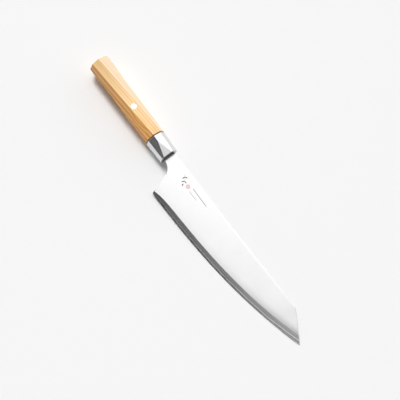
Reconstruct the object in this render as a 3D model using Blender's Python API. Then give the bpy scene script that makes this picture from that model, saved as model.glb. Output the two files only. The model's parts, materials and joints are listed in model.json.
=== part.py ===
"""Kitchen knife with an angled tip, a laminated blade and a twisted eight-sided handle.

The knife is drawn with +X from the butt of the handle to the tip of the blade, +Y toward the
spine and +Z out of the right-hand face of the blade, with the handle's axis along X.
It is then laid on its left side on a level floor, at Z = 0, the way a real one comes to rest.
All lengths are in metres.
"""
import math

import bmesh
import bpy
import numpy as np
from mathutils import Quaternion, Vector

# Handle, spacer and bolster, from the butt forwards
HANDLE_LENGTH = 0.1003
HANDLE_BUTT_RADIUS = 0.0117
HANDLE_FRONT_RADIUS = 0.0109
HANDLE_TWIST = math.radians(38.0)
BUTT_CHAMFER = 0.0005
SPACER_THICKNESS = 0.0008
BOLSTER_LENGTH = 0.0237
BOLSTER_FRONT_RADIUS = 0.0101
BOLSTER_STRAIGHT = 0.0052
BOLSTER_FRONT_HALF_THICKNESS = 0.0080
BOLSTER_FRONT_CHAMFER = 0.0004

# Blade outline, measured from the front of the bolster and from the handle's axis
NECK_SHOWING = 0.0012
NECK_ABOVE_AXIS = 0.0068
NECK_BELOW_AXIS = 0.0059
CHOIL_RADIUS = 0.0140
CHOIL_LEAN = math.radians(18.0)
HEEL_BELOW_AXIS = 0.0351
EDGE_RUN = 0.2081
EDGE_STRAIGHT_RISE = 0.0050
TIP_BELOW_AXIS = 0.0071
BELLY_POWER = 2.8
SLANT_RUN = 0.0317
SLANT_BOW = 0.0006
SPINE_END_ABOVE_AXIS = 0.0111
SPINE_SAG = 0.0004

# Blade thickness, and the ground bevel above the edge
NECK_THICKNESS = 0.0021
TAPER_TO_TIP = 0.0018
TAPER_TO_EDGE = 0.0060
CORE_THICKNESS = 0.0006
EDGE_THICKNESS = 0.0002
BEVEL_WIDTH_AT_HEEL = 0.0026
BEVEL_WIDTH = 0.0056
BEVEL_WIDENING = 0.0015
BEVEL_OPENING_RUN = 0.0090
CLADDING_LIP = 0.00003

# Tang, its pocket and its pin
TANG_END = 0.0220
TANG_HALF_HEIGHT = 0.0052
TANG_SHOULDER = 0.0120
SHOULDER_RUN = 0.0020
POCKET_MARGIN = 0.0012
NECK_SEAL = 0.0004
SEAL_RECESS = 0.0003
PIN_DIAMETER = 0.0062
PIN_CORE_DIAMETER = 0.0024
PIN_PLACE = 0.0633
PIN_PROUD = 0.0001

# Clearances between pieces that touch on the real knife
LAYER_GAP = 0.00003
SEAM_GAP = 0.00005

# Mesh detail
EDGE_STEPS = 44
SPINE_STEPS = 12
SLANT_STEPS = 6
CHOIL_STEPS = 14
HANDLE_RINGS = 24
PIN_SIDES = 40
SHARP_ANGLE = math.radians(30.0)

# Densities in kilograms per cubic metre, for the balance point
STEEL_DENSITY = 7850.0
WOOD_DENSITY = 600.0
RESIN_DENSITY = 1100.0

# A hull face counts as the left side when its normal is within 45 degrees of straight left
LEFT_SIDE_LIMIT = math.cos(math.radians(45.0))

# Places along the knife that follow from the sizes above
SPACER_START = HANDLE_LENGTH + SEAM_GAP
BOLSTER_START = SPACER_START + SPACER_THICKNESS + SEAM_GAP
BOLSTER_FRONT = BOLSTER_START + BOLSTER_LENGTH
CHOIL_START = BOLSTER_FRONT + NECK_SHOWING
CHOIL_END_X = CHOIL_START + CHOIL_RADIUS * math.cos(CHOIL_LEAN)
CHOIL_END_Y = -NECK_BELOW_AXIS - CHOIL_RADIUS * (1.0 - math.sin(CHOIL_LEAN))
HEEL_X = CHOIL_END_X + (CHOIL_END_Y + HEEL_BELOW_AXIS) * math.tan(CHOIL_LEAN)
TIP_X = HEEL_X + EDGE_RUN
SLANT_X = TIP_X - SLANT_RUN
SHOULDER_X = BOLSTER_FRONT - TANG_SHOULDER
CORE_HALF = CORE_THICKNESS / 2
EDGE_HALF = EDGE_THICKNESS / 2


def clear_scene():
    for old in list(bpy.data.objects):
        bpy.data.objects.remove(old, do_unlink=True)


def plain_material(name, colour, roughness, metallic):
    material = bpy.data.materials.new(name)
    material.use_nodes = True
    shader = material.node_tree.nodes["Principled BSDF"]
    shader.inputs["Base Color"].default_value = (*colour, 1.0)
    shader.inputs["Roughness"].default_value = roughness
    shader.inputs["Metallic"].default_value = metallic
    material.diffuse_color = (*colour, 1.0)
    return material


def add_object(name, bm, material=None):
    """Turn a bmesh into a linked object, and give it its material."""
    mesh = bpy.data.meshes.new(name)
    bm.to_mesh(mesh)
    bm.free()
    obj = bpy.data.objects.new(name, mesh)
    bpy.context.collection.objects.link(obj)
    if material:
        mesh.materials.append(material)
    return obj


def mesh_from(points, faces):
    bm = bmesh.new()
    corners = [bm.verts.new(point) for point in points]
    for face in faces:
        bm.faces.new([corners[index] for index in face])
    return bm


def make_cutter(name, bm):
    cutter = add_object(name, bm)
    cutter.hide_render = True
    cutter.display_type = "WIRE"
    return cutter


def cut(obj, cutter):
    modifier = obj.modifiers.new("cut by " + cutter.name, "BOOLEAN")
    modifier.operation = "DIFFERENCE"
    modifier.object = cutter


def box_mesh(x_low, x_high, y_low, y_high, half_thickness):
    bm = bmesh.new()
    bmesh.ops.create_cube(bm, size=1.0)
    for vert in bm.verts:
        vert.co.x = x_high if vert.co.x > 0 else x_low
        vert.co.y = y_high if vert.co.y > 0 else y_low
        vert.co.z = half_thickness if vert.co.z > 0 else -half_thickness
    return bm


# Blade outline: heights in Y as functions of the place along X

def spine_height(x):
    share = (x - BOLSTER_FRONT) / (SLANT_X - BOLSTER_FRONT)
    straight = NECK_ABOVE_AXIS + (SPINE_END_ABOVE_AXIS - NECK_ABOVE_AXIS) * share
    return straight - 4.0 * SPINE_SAG * share * (1.0 - share)


def slant_height(x):
    share = (x - SLANT_X) / SLANT_RUN
    straight = SPINE_END_ABOVE_AXIS - (SPINE_END_ABOVE_AXIS + TIP_BELOW_AXIS) * share
    return straight + 4.0 * SLANT_BOW * share * (1.0 - share)


def edge_height(x):
    """The edge: a nearly straight stretch from the heel, and then a belly that rises as a power."""
    share = np.clip((x - HEEL_X) / EDGE_RUN, 0.0, 1.0)
    belly_rise = HEEL_BELOW_AXIS - TIP_BELOW_AXIS - EDGE_STRAIGHT_RISE
    return -HEEL_BELOW_AXIS + EDGE_STRAIGHT_RISE * share + belly_rise * share ** BELLY_POWER


def bevel_top_height(x):
    """Where the flat face ends: the bevel opens quickly from the heel, then widens slowly."""
    run = np.maximum(x - HEEL_X, 0.0)
    full = BEVEL_WIDTH + BEVEL_WIDENING * run / EDGE_RUN
    opening = np.exp(-run / BEVEL_OPENING_RUN)
    return edge_height(x) + full + (BEVEL_WIDTH_AT_HEEL - full) * opening


def face_half(x, y):
    """Half the blade's thickness on its flat faces, which are plane and thin toward tip and edge."""
    thinner = TAPER_TO_TIP * (x - BOLSTER_FRONT) + TAPER_TO_EDGE * (NECK_ABOVE_AXIS - y)
    return NECK_THICKNESS / 2 - thinner


def bevel_height_at(x, half):
    """The height at which the bevel has a given half thickness."""
    top = bevel_top_height(x)
    share = (half - EDGE_HALF) / (face_half(x, top) - EDGE_HALF)
    return edge_height(x) + (top - edge_height(x)) * share


def choil_height(x):
    """The straight part of the choil, which runs down to the heel."""
    return -HEEL_BELOW_AXIS + (HEEL_X - x) / math.tan(CHOIL_LEAN)


def crossing(difference, low, high):
    """The place between low and high where a falling difference is zero."""
    for _ in range(60):
        middle = (low + high) / 2
        if difference(middle) > 0:
            low = middle
        else:
            high = middle
    return middle


def blade_row(height):
    """Points along a line of the bevel, from the choil to the slanted tip."""
    start = crossing(lambda x: choil_height(x) - height(x), CHOIL_END_X, HEEL_X)
    end = crossing(lambda x: slant_height(x) - height(x), SLANT_X, TIP_X)
    x = np.linspace(start, end, EDGE_STEPS + 1)
    return np.column_stack((x, height(x)))


def outline_round_back(slant_end):
    """The outline from the slanted tip round the spine, the tang and the choil.

    It starts above the point on the slant at slant_end, and stops above the row that closes it.
    """
    slant_x = np.linspace(slant_end, SLANT_X, SLANT_STEPS + 1)[1:]
    slant = np.column_stack((slant_x, slant_height(slant_x)))
    spine_x = np.linspace(SLANT_X, BOLSTER_FRONT, SPINE_STEPS + 1)[1:]
    spine = np.column_stack((spine_x, spine_height(spine_x)))
    turn = np.linspace(math.pi / 2, CHOIL_LEAN, CHOIL_STEPS + 1)
    choil = np.column_stack((
        CHOIL_START + CHOIL_RADIUS * np.cos(turn),
        -NECK_BELOW_AXIS - CHOIL_RADIUS + CHOIL_RADIUS * np.sin(turn),
    ))
    return np.concatenate((slant, spine, tang_outline(0.0), choil))


def tang_outline(growth):
    """The shoulders and the tang, from the top of the neck round, moved outwards by growth."""
    tang_start = SHOULDER_X - SHOULDER_RUN
    half_height = TANG_HALF_HEIGHT + growth
    return np.array([
        (SHOULDER_X, NECK_ABOVE_AXIS + growth),
        (tang_start, half_height),
        (TANG_END - growth, half_height),
        (TANG_END - growth, -half_height),
        (tang_start, -half_height),
        (SHOULDER_X, -NECK_BELOW_AXIS - growth),
    ])


def blade_layer(name, ridge, border, rim, upper, lower, material):
    """A closed layer of the blade.

    Its two faces each hold a flat part, bounded by the ridge row and the rim, and a strip
    between the ridge row and the border row.  Upper and lower give the z of the three groups
    of points on the two faces.
    """
    groups = (ridge, border, rim)
    count = len(ridge) + len(border) + len(rim)
    points = []
    for side in (upper, lower):
        for group, z in zip(groups, side):
            heights = np.broadcast_to(z, len(group))
            points.extend(np.column_stack((group, heights)).tolist())
    ridge_ids = list(range(len(ridge)))
    border_ids = list(range(len(ridge), len(ridge) + len(border)))
    rim_ids = list(range(len(ridge) + len(border), count))
    strip = list(zip(border_ids, border_ids[1:], ridge_ids[1:], ridge_ids))
    top = [ridge_ids + rim_ids] + [list(face) for face in strip]
    under = [[index + count for index in reversed(face)] for face in top]
    loop = border_ids + [ridge_ids[-1]] + rim_ids + [ridge_ids[0]]
    sides = []
    for first, second in zip(loop, loop[1:] + loop[:1]):
        sides.append([first + count, second + count, second, first])
    return add_object(name, mesh_from(points, top + under + sides), material)


def make_blade_core(steel):
    """The hard centre layer, which comes out of the cladding on the bevel and carries the edge."""
    ridge = blade_row(lambda x: bevel_height_at(x, CORE_HALF))
    edge_x = np.linspace(HEEL_X, TIP_X, EDGE_STEPS + 1)
    border = np.column_stack((edge_x, edge_height(edge_x)))
    rim = outline_round_back(ridge[-1, 0])
    upper = (CORE_HALF, EDGE_HALF, CORE_HALF)
    lower = tuple(-z for z in upper)
    return blade_layer("blade_core", ridge, border, rim, upper, lower, steel)


def make_cladding(name, side, steel):
    """An outer layer: plane outside, and ground down to a thin lip where the core comes out."""
    inner = CORE_HALF + LAYER_GAP
    lip = inner + CLADDING_LIP
    ridge = blade_row(bevel_top_height)
    border = blade_row(lambda x: bevel_height_at(x, lip))
    rim = outline_round_back(ridge[-1, 0])
    outer = (face_half(*ridge.T), lip, face_half(*rim.T))
    flat = (inner, inner, inner)
    if side > 0:
        return blade_layer(name, ridge, border, rim, outer, flat, steel)
    mirrored_outer = tuple(-z for z in outer)
    mirrored_flat = tuple(-z for z in flat)
    return blade_layer(name, ridge, border, rim, mirrored_flat, mirrored_outer, steel)


# Handle, spacer and bolster: eight-sided sections carried along the axis

def octagon_ring(x, radius, turn):
    """Eight corners; turn is the angle of the first corner from +Z toward the spine."""
    angles = turn + np.arange(8) * math.pi / 4
    return np.column_stack((np.full(8, x), radius * np.sin(angles), radius * np.cos(angles)))


def lofted(rings):
    """A closed bmesh through rings of equal length, with flat ends."""
    size = len(rings[0])
    points = np.concatenate(rings).tolist()
    faces = [list(range(size)), list(range(len(points) - size, len(points)))]
    for ring in range(len(rings) - 1):
        low = ring * size
        for corner in range(size):
            after = (corner + 1) % size
            faces.append([low + corner, low + after, low + size + after, low + size + corner])
    bm = mesh_from(points, faces)
    bmesh.ops.recalc_face_normals(bm, faces=bm.faces)
    return bm


def handle_radius(x):
    return HANDLE_BUTT_RADIUS + (HANDLE_FRONT_RADIUS - HANDLE_BUTT_RADIUS) * x / HANDLE_LENGTH


def handle_turn(x):
    """The corners line up with the blade's faces at the spacer, and turn back toward the butt."""
    return -HANDLE_TWIST * (1.0 - x / HANDLE_LENGTH)


def make_handle(wood):
    rings = [octagon_ring(0.0, handle_radius(0.0) - BUTT_CHAMFER, handle_turn(0.0))]
    for x in np.linspace(BUTT_CHAMFER, HANDLE_LENGTH, HANDLE_RINGS + 1):
        rings.append(octagon_ring(x, handle_radius(x), handle_turn(x)))
    return add_object("handle", lofted(rings), wood)


def make_spacer(fibre):
    ends = (SPACER_START, SPACER_START + SPACER_THICKNESS)
    rings = [octagon_ring(x, HANDLE_FRONT_RADIUS, 0.0) for x in ends]
    return add_object("spacer", lofted(rings), fibre)


def make_bolster(steel):
    """An eight-sided block, with its two sides planed down toward the blunt front."""
    chamfer_start = BOLSTER_FRONT - BOLSTER_FRONT_CHAMFER
    bm = lofted([
        octagon_ring(BOLSTER_START, HANDLE_FRONT_RADIUS, 0.0),
        octagon_ring(chamfer_start, BOLSTER_FRONT_RADIUS, 0.0),
        octagon_ring(BOLSTER_FRONT, BOLSTER_FRONT_RADIUS - BOLSTER_FRONT_CHAMFER, 0.0),
    ])
    plane_start = BOLSTER_START + BOLSTER_STRAIGHT
    share = BOLSTER_STRAIGHT / (BOLSTER_LENGTH - BOLSTER_FRONT_CHAMFER)
    corner = HANDLE_FRONT_RADIUS + (BOLSTER_FRONT_RADIUS - HANDLE_FRONT_RADIUS) * share
    run = BOLSTER_FRONT - plane_start
    fall = corner - BOLSTER_FRONT_HALF_THICKNESS
    for side in (1.0, -1.0):
        cut_edges = bmesh.ops.bisect_plane(
            bm,
            geom=bm.verts[:] + bm.edges[:] + bm.faces[:],
            plane_co=(plane_start, 0.0, side * corner),
            plane_no=(fall, 0.0, side * run),
            clear_outer=True,
        )["geom_cut"]
        bmesh.ops.holes_fill(bm, edges=[e for e in cut_edges if isinstance(e, bmesh.types.BMEdge)])
    bmesh.ops.recalc_face_normals(bm, faces=bm.faces)
    return add_object("bolster", bm, steel)


# Pocket, bedding and pin

def pocket_half_height():
    return TANG_HALF_HEIGHT + POCKET_MARGIN


def pocket_half_thickness():
    return face_half(TANG_END, -TANG_HALF_HEIGHT) + POCKET_MARGIN


def make_pocket_cutter():
    """The pocket in the handle, open through the spacer and the back of the bolster."""
    height = pocket_half_height()
    return make_cutter("pocket_space", box_mesh(
        TANG_END - POCKET_MARGIN, SHOULDER_X + POCKET_MARGIN,
        -height, height, pocket_half_thickness()))


def make_slot_cutter():
    """The closer slot for the neck, in the front of the bolster."""
    return make_cutter("neck_slot_space", box_mesh(
        SHOULDER_X - SHOULDER_RUN, BOLSTER_FRONT + POCKET_MARGIN,
        -NECK_BELOW_AXIS - NECK_SEAL, NECK_ABOVE_AXIS + NECK_SEAL,
        NECK_THICKNESS / 2 + NECK_SEAL))


def make_bedding(resin):
    """Resin that fills the pocket and the slot round the tang."""
    height = pocket_half_height() - SEAM_GAP
    bedding = add_object("tang_bedding", box_mesh(
        TANG_END - POCKET_MARGIN + SEAM_GAP, SHOULDER_X + POCKET_MARGIN - SEAM_GAP,
        -height, height, pocket_half_thickness() - SEAM_GAP), resin)
    film = NECK_SEAL - SEAM_GAP
    seal = make_cutter("neck_seal_shape", box_mesh(
        SHOULDER_X - SHOULDER_RUN + SEAM_GAP, BOLSTER_FRONT - SEAL_RECESS,
        -NECK_BELOW_AXIS - film, NECK_ABOVE_AXIS + film,
        NECK_THICKNESS / 2 + film))
    joined = bedding.modifiers.new("seal round the neck", "BOOLEAN")
    joined.operation = "UNION"
    joined.object = seal
    return bedding


def make_tang_cutter():
    """The space of the tang and the neck, grown by the gap between steel and resin."""
    outline = tang_outline(SEAM_GAP)
    ends = np.array([
        (BOLSTER_FRONT + POCKET_MARGIN, -NECK_BELOW_AXIS - SEAM_GAP),
        (BOLSTER_FRONT + POCKET_MARGIN, NECK_ABOVE_AXIS + SEAM_GAP),
    ])
    loop = np.concatenate((ends, outline))
    z = face_half(*loop.T) + SEAM_GAP
    points = np.concatenate((np.column_stack((loop, z)), np.column_stack((loop, -z))))
    count = len(loop)
    faces = [list(range(count)), list(range(2 * count - 1, count - 1, -1))]
    for first in range(count):
        second = (first + 1) % count
        faces.append([first + count, second + count, second, first])
    bm = mesh_from(points.tolist(), faces)
    bmesh.ops.recalc_face_normals(bm, faces=bm.faces)
    return make_cutter("tang_space", bm)


def pin_turn():
    """The pin stands square to the facet next after the corner that lines up with the blade."""
    return handle_turn(PIN_PLACE) + math.pi / 8


def pin_half_length():
    return handle_radius(PIN_PLACE) * math.cos(math.pi / 8) + PIN_PROUD


def cylinder_mesh(radius, half_length):
    """A cylinder through the handle at the pin's place, along the pin's own axis."""
    bm = bmesh.new()
    bmesh.ops.create_cone(
        bm, cap_ends=True, segments=PIN_SIDES, radius1=radius, radius2=radius,
        depth=2 * half_length)
    lean = Quaternion((1.0, 0.0, 0.0), -pin_turn())
    bmesh.ops.rotate(bm, verts=bm.verts, matrix=lean.to_matrix())
    bmesh.ops.translate(bm, verts=bm.verts, vec=(PIN_PLACE, 0.0, 0.0))
    return bm


def shade_round(obj):
    obj.data.shade_smooth()
    obj.data.set_sharp_from_angle(angle=SHARP_ANGLE)


def make_pin(steel, dark_steel):
    core_radius = PIN_CORE_DIAMETER / 2
    tube = add_object("handle_pin", cylinder_mesh(PIN_DIAMETER / 2, pin_half_length()), steel)
    bore = make_cutter("pin_bore", cylinder_mesh(core_radius + LAYER_GAP, 2 * pin_half_length()))
    cut(tube, bore)
    core = add_object("handle_pin_core", cylinder_mesh(core_radius, pin_half_length()), dark_steel)
    shade_round(tube)
    shade_round(core)
    return tube, core


# Resting place on the floor

def evaluated_triangles(obj):
    """World points and triangles of an object, with its modifiers applied."""
    seen = obj.evaluated_get(bpy.context.evaluated_depsgraph_get())
    mesh = seen.to_mesh()
    mesh.calc_loop_triangles()
    points = np.empty(len(mesh.vertices) * 3)
    mesh.vertices.foreach_get("co", points)
    triangles = np.empty(len(mesh.loop_triangles) * 3, dtype=np.int32)
    mesh.loop_triangles.foreach_get("vertices", triangles)
    seen.to_mesh_clear()
    world = np.array(obj.matrix_world)
    points = points.reshape(-1, 3) @ world[:3, :3].T + world[:3, 3]
    return points, triangles.reshape(-1, 3)


def balance_point(weighted):
    """The centre of mass of objects given with their densities."""
    mass = 0.0
    moment = np.zeros(3)
    for obj, density in weighted:
        points, triangles = evaluated_triangles(obj)
        a, b, c = (points[triangles[:, corner]] for corner in range(3))
        volumes = np.einsum("ij,ij->i", a, np.cross(b, c)) / 6.0
        mass += density * volumes.sum()
        moment += density * (volumes[:, None] * (a + b + c) / 4.0).sum(axis=0)
    return Vector(moment / mass)


def face_under(balance, points):
    """The outward normal of the hull's left-hand face that lies straight under the balance point."""
    hull = bmesh.new()
    for point in points:
        hull.verts.new(point)
    bmesh.ops.convex_hull(hull, input=hull.verts)
    hull.normal_update()
    below = Vector((0.0, 0.0, -1.0))
    best = below
    for face in hull.faces:
        normal = face.normal.copy()
        corners = [vert.co for vert in face.verts]
        inside = all(
            (second - first).cross(balance - first).dot(normal) >= 0.0
            for first, second in zip(corners, corners[1:] + corners[:1])
        )
        if inside and normal.dot(below) > LEFT_SIDE_LIMIT:
            best = normal
    hull.free()
    return best


def lay_down(holder, weighted):
    """Turn the holder so that the knife rests on the floor, over the middle of its footprint."""
    bpy.context.view_layer.update()
    clouds = np.concatenate([evaluated_triangles(obj)[0] for obj, _ in weighted])
    normal = face_under(balance_point(weighted), clouds)
    tilt = normal.rotation_difference(Vector((0.0, 0.0, -1.0)))
    forward = tilt @ Vector((1.0, 0.0, 0.0))
    heading = Quaternion((0.0, 0.0, 1.0), -math.atan2(forward.y, forward.x))
    rest = heading @ tilt
    laid = clouds @ np.array(rest.to_matrix()).T
    low = laid.min(axis=0)
    high = laid.max(axis=0)
    holder.rotation_mode = "QUATERNION"
    holder.rotation_quaternion = rest
    holder.location = (-(low[0] + high[0]) / 2, -(low[1] + high[1]) / 2, -low[2])


def main():
    clear_scene()
    hard_steel = plain_material("hard steel", (0.62, 0.63, 0.64), 0.22, 1.0)
    satin_steel = plain_material("satin steel", (0.72, 0.73, 0.74), 0.34, 1.0)
    polished_steel = plain_material("polished steel", (0.66, 0.67, 0.68), 0.12, 1.0)
    pin_steel = plain_material("pin steel", (0.80, 0.80, 0.80), 0.15, 1.0)
    pin_centre = plain_material("pin centre", (0.55, 0.55, 0.56), 0.25, 1.0)
    wood = plain_material("light wood", (0.84, 0.60, 0.33), 0.50, 0.0)
    fibre = plain_material("red-brown fibre", (0.16, 0.045, 0.03), 0.55, 0.0)
    resin = plain_material("cured resin", (0.09, 0.08, 0.07), 0.45, 0.0)

    core = make_blade_core(hard_steel)
    right = make_cladding("cladding_right", 1, satin_steel)
    left = make_cladding("cladding_left", -1, satin_steel)
    bolster = make_bolster(polished_steel)
    spacer = make_spacer(fibre)
    handle = make_handle(wood)
    bedding = make_bedding(resin)
    pin, pin_core = make_pin(pin_steel, pin_centre)

    pocket = make_pocket_cutter()
    slot = make_slot_cutter()
    tang = make_tang_cutter()
    pin_hole = make_cutter(
        "pin_hole", cylinder_mesh(PIN_DIAMETER / 2 + SEAM_GAP, 2 * pin_half_length()))
    for piece in (handle, spacer, bolster):
        cut(piece, pocket)
    cut(bolster, slot)
    cut(bedding, tang)
    for piece in (handle, bedding, core, right, left):
        cut(piece, pin_hole)

    holder = bpy.data.objects.new("resting_knife", None)
    bpy.context.collection.objects.link(holder)
    for obj in list(bpy.data.objects):
        if obj is not holder:
            obj.parent = holder
    weighted = [(piece, STEEL_DENSITY) for piece in (core, right, left, bolster, pin, pin_core)]
    weighted += [(handle, WOOD_DENSITY), (spacer, RESIN_DENSITY), (bedding, RESIN_DENSITY)]
    lay_down(holder, weighted)


main()
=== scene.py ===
"""The looks of a kitchen knife with an angled tip, laid on its left side on a pale floor.

The pieces follow each other as the knife is put together: the laminated blade, the mark on it,
the bolster, the spacer, the handle, the resin round the tang and the pin.
All lengths are in metres.  Knife coordinates run from the middle of the handle's butt toward the
tip (x), toward the spine (y) and out of the right-hand face (z).
"""
import json
import math

import bpy
import numpy as np
from mathutils import Matrix


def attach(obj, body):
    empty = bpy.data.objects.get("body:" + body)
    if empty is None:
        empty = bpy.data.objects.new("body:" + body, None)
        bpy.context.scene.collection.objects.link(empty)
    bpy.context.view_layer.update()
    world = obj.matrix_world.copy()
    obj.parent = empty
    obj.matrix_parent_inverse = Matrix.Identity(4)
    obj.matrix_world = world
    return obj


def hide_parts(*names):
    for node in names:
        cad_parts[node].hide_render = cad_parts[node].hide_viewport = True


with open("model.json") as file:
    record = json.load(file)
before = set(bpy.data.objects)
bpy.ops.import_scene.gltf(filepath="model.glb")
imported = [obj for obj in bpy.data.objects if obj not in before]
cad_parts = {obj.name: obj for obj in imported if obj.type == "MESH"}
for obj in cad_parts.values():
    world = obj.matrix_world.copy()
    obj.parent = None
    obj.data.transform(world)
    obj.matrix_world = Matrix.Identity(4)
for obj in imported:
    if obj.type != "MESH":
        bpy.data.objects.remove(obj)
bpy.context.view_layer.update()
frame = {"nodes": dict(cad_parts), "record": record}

# How the knife lies
# The record names the flat butt of the handle and the two flat faces of the blade.
# They give the knife's own axes, because the knife rests rolled onto its cutting edge.


def unit(vector):
    """The vector over its own length."""
    return vector / np.linalg.norm(vector)


mounts = {mount["name"]: mount for mount in frame["record"]["mounts"]}
butt_middle = np.array(mounts["butt_end"]["pos_m"])
lengthways = unit(-np.array(mounts["butt_end"]["axis"]))
outwards = np.array(mounts["right_flat"]["axis"]) - np.array(mounts["left_flat"]["axis"])
outwards = unit(outwards - lengthways * (outwards @ lengthways))
spinewards = np.cross(outwards, lengthways)
knife_axes = np.array((lengthways, spinewards, outwards))


def laid(points):
    """Scene coordinates: the butt's middle plus each knife coordinate times its axis."""
    return butt_middle + np.asarray(points) @ knife_axes


# Blade core
# The centre layer is hard carbon-rich steel.  It runs from the tang to the tip, and comes out
# of the softer layers along the bevel, where it is ground to the cutting edge.

BOLSTER_FRONT = 0.1249
NECK_SHOWING = 0.0012
NECK_ABOVE_AXIS = 0.0068
NECK_BELOW_AXIS = 0.0059
CHOIL_RADIUS = 0.0140
CHOIL_LEAN = math.radians(18.0)
HEEL_BELOW_AXIS = 0.0351
EDGE_RUN = 0.2081
EDGE_STRAIGHT_RISE = 0.0050
TIP_BELOW_AXIS = 0.0071
BELLY_POWER = 2.8
SLANT_RUN = 0.0317
SLANT_BOW = 0.0006
SPINE_END_ABOVE_AXIS = 0.0111
SPINE_SAG = 0.0004
TANG_END = 0.0220
TANG_HALF_HEIGHT = 0.0052
TANG_SHOULDER = 0.0120
SHOULDER_RUN = 0.0020
NECK_THICKNESS = 0.0021
TAPER_TO_TIP = 0.0018
TAPER_TO_EDGE = 0.0060
BEVEL_WIDTH_AT_HEEL = 0.0026
BEVEL_WIDTH = 0.0056
BEVEL_WIDENING = 0.0015
BEVEL_OPENING_RUN = 0.0090
FACE_ROLL = 0.00002
FACE_ROLL_AT_TIP = 0.00019
FACE_ROLL_WIDTH = 0.0070
BEVEL_EASING = 0.35
BEVEL_EASING_POWER = 5
EDGE_HALF = 0.00005
HONED_WIDTH = 0.00030
HONED_HALF = 0.00007
KEEN_HALF = 0.000004
CORE_HALF = 0.00019
CORE_WAVE = 0.000025
CORE_WAVES = ((1.0, 95.0, 0.0), (0.6, 231.0, 1.3), (0.35, 517.0, 0.4))
TINY = 0.00002
NANOMETRE = 1e-9
TANG_COLUMNS, ARC_COLUMNS, CHOIL_COLUMNS, EDGE_COLUMNS, SLANT_COLUMNS = 16, 40, 50, 190, 60
RISE_SAMPLES, CROSSING_SAMPLES = 401, 4001
SHARP_ANGLE = math.radians(32.0)

CHOIL_START = BOLSTER_FRONT + NECK_SHOWING
CHOIL_END_X = CHOIL_START + CHOIL_RADIUS * math.cos(CHOIL_LEAN)
CHOIL_END_Y = -NECK_BELOW_AXIS - CHOIL_RADIUS * (1.0 - math.sin(CHOIL_LEAN))
HEEL_X = CHOIL_END_X + (CHOIL_END_Y + HEEL_BELOW_AXIS) * math.tan(CHOIL_LEAN)
TIP_X = HEEL_X + EDGE_RUN
SLANT_X = TIP_X - SLANT_RUN
SHOULDER_X = BOLSTER_FRONT - TANG_SHOULDER
TANG_START = SHOULDER_X - SHOULDER_RUN


def upper_outline(x):
    """The tang, the shoulder, the nearly straight spine and the slant, as heights over x."""
    along_spine = (x - BOLSTER_FRONT) / (SLANT_X - BOLSTER_FRONT)
    spine = NECK_ABOVE_AXIS + (SPINE_END_ABOVE_AXIS - NECK_ABOVE_AXIS) * along_spine
    spine = spine - 4.0 * SPINE_SAG * along_spine * (1.0 - along_spine)
    along_slant = (x - SLANT_X) / SLANT_RUN
    slant = SPINE_END_ABOVE_AXIS - (SPINE_END_ABOVE_AXIS + TIP_BELOW_AXIS) * along_slant
    slant = slant + 4.0 * SLANT_BOW * along_slant * (1.0 - along_slant)
    tang = np.interp(x, (TANG_START, SHOULDER_X), (TANG_HALF_HEIGHT, NECK_ABOVE_AXIS))
    return np.where(x < BOLSTER_FRONT, tang, np.where(x < SLANT_X, spine, slant))


def choil_line(x):
    """The straight part of the choil, leaning forward down to the heel."""
    return -HEEL_BELOW_AXIS + (HEEL_X - x) / math.tan(CHOIL_LEAN)


def edge_line(x):
    """The edge: a slow straight rise, and a belly that rises as a power of the share of the run."""
    share = np.clip((x - HEEL_X) / EDGE_RUN, 0.0, 1.0)
    belly = HEEL_BELOW_AXIS - TIP_BELOW_AXIS - EDGE_STRAIGHT_RISE
    return -HEEL_BELOW_AXIS + EDGE_STRAIGHT_RISE * share + belly * share ** BELLY_POWER


def lower_outline(x):
    """The tang, the shoulder, the neck, the choil's arc, its straight part and the edge."""
    tang = np.interp(x, (TANG_START, SHOULDER_X), (-TANG_HALF_HEIGHT, -NECK_BELOW_AXIS))
    across = np.clip(x - CHOIL_START, 0.0, CHOIL_RADIUS)
    arc = -NECK_BELOW_AXIS - CHOIL_RADIUS + np.sqrt(CHOIL_RADIUS ** 2 - across ** 2)
    cut = np.where(x < CHOIL_END_X, arc, choil_line(x))
    return np.where(x < CHOIL_START, tang, np.where(x < HEEL_X, cut, edge_line(x)))


def bevel_top(x):
    """The ridge over the bevel: the bevel opens quickly from the heel, then widens slowly."""
    run = np.maximum(x - HEEL_X, 0.0)
    full = BEVEL_WIDTH + BEVEL_WIDENING * run / EDGE_RUN
    opening = np.exp(-run / BEVEL_OPENING_RUN)
    return edge_line(x) + full + (BEVEL_WIDTH_AT_HEEL - full) * opening


def face_half(x, y):
    """Half the thickness of the flat face, which thins evenly toward the tip and the edge."""
    return NECK_THICKNESS / 2 - TAPER_TO_TIP * (x - BOLSTER_FRONT) - TAPER_TO_EDGE * (
        NECK_ABOVE_AXIS - y)


def face_roll(x):
    """How far the face falls over its lower part down to the ridge: more toward the tip."""
    share = np.clip((x - HEEL_X) / EDGE_RUN, 0.0, 1.0)
    return FACE_ROLL + (FACE_ROLL_AT_TIP - FACE_ROLL) * share ** 2


def ridge_half(x):
    """Half the thickness at the ridge, where the face has rolled over by its full fall."""
    return face_half(x, bevel_top(x)) - face_roll(x)


def ground_share(share):
    """The bevel's rise from the edge to the ridge: a line, less a term that fades by a power."""
    return share - BEVEL_EASING * share * (1.0 - share) ** BEVEL_EASING_POWER


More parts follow.
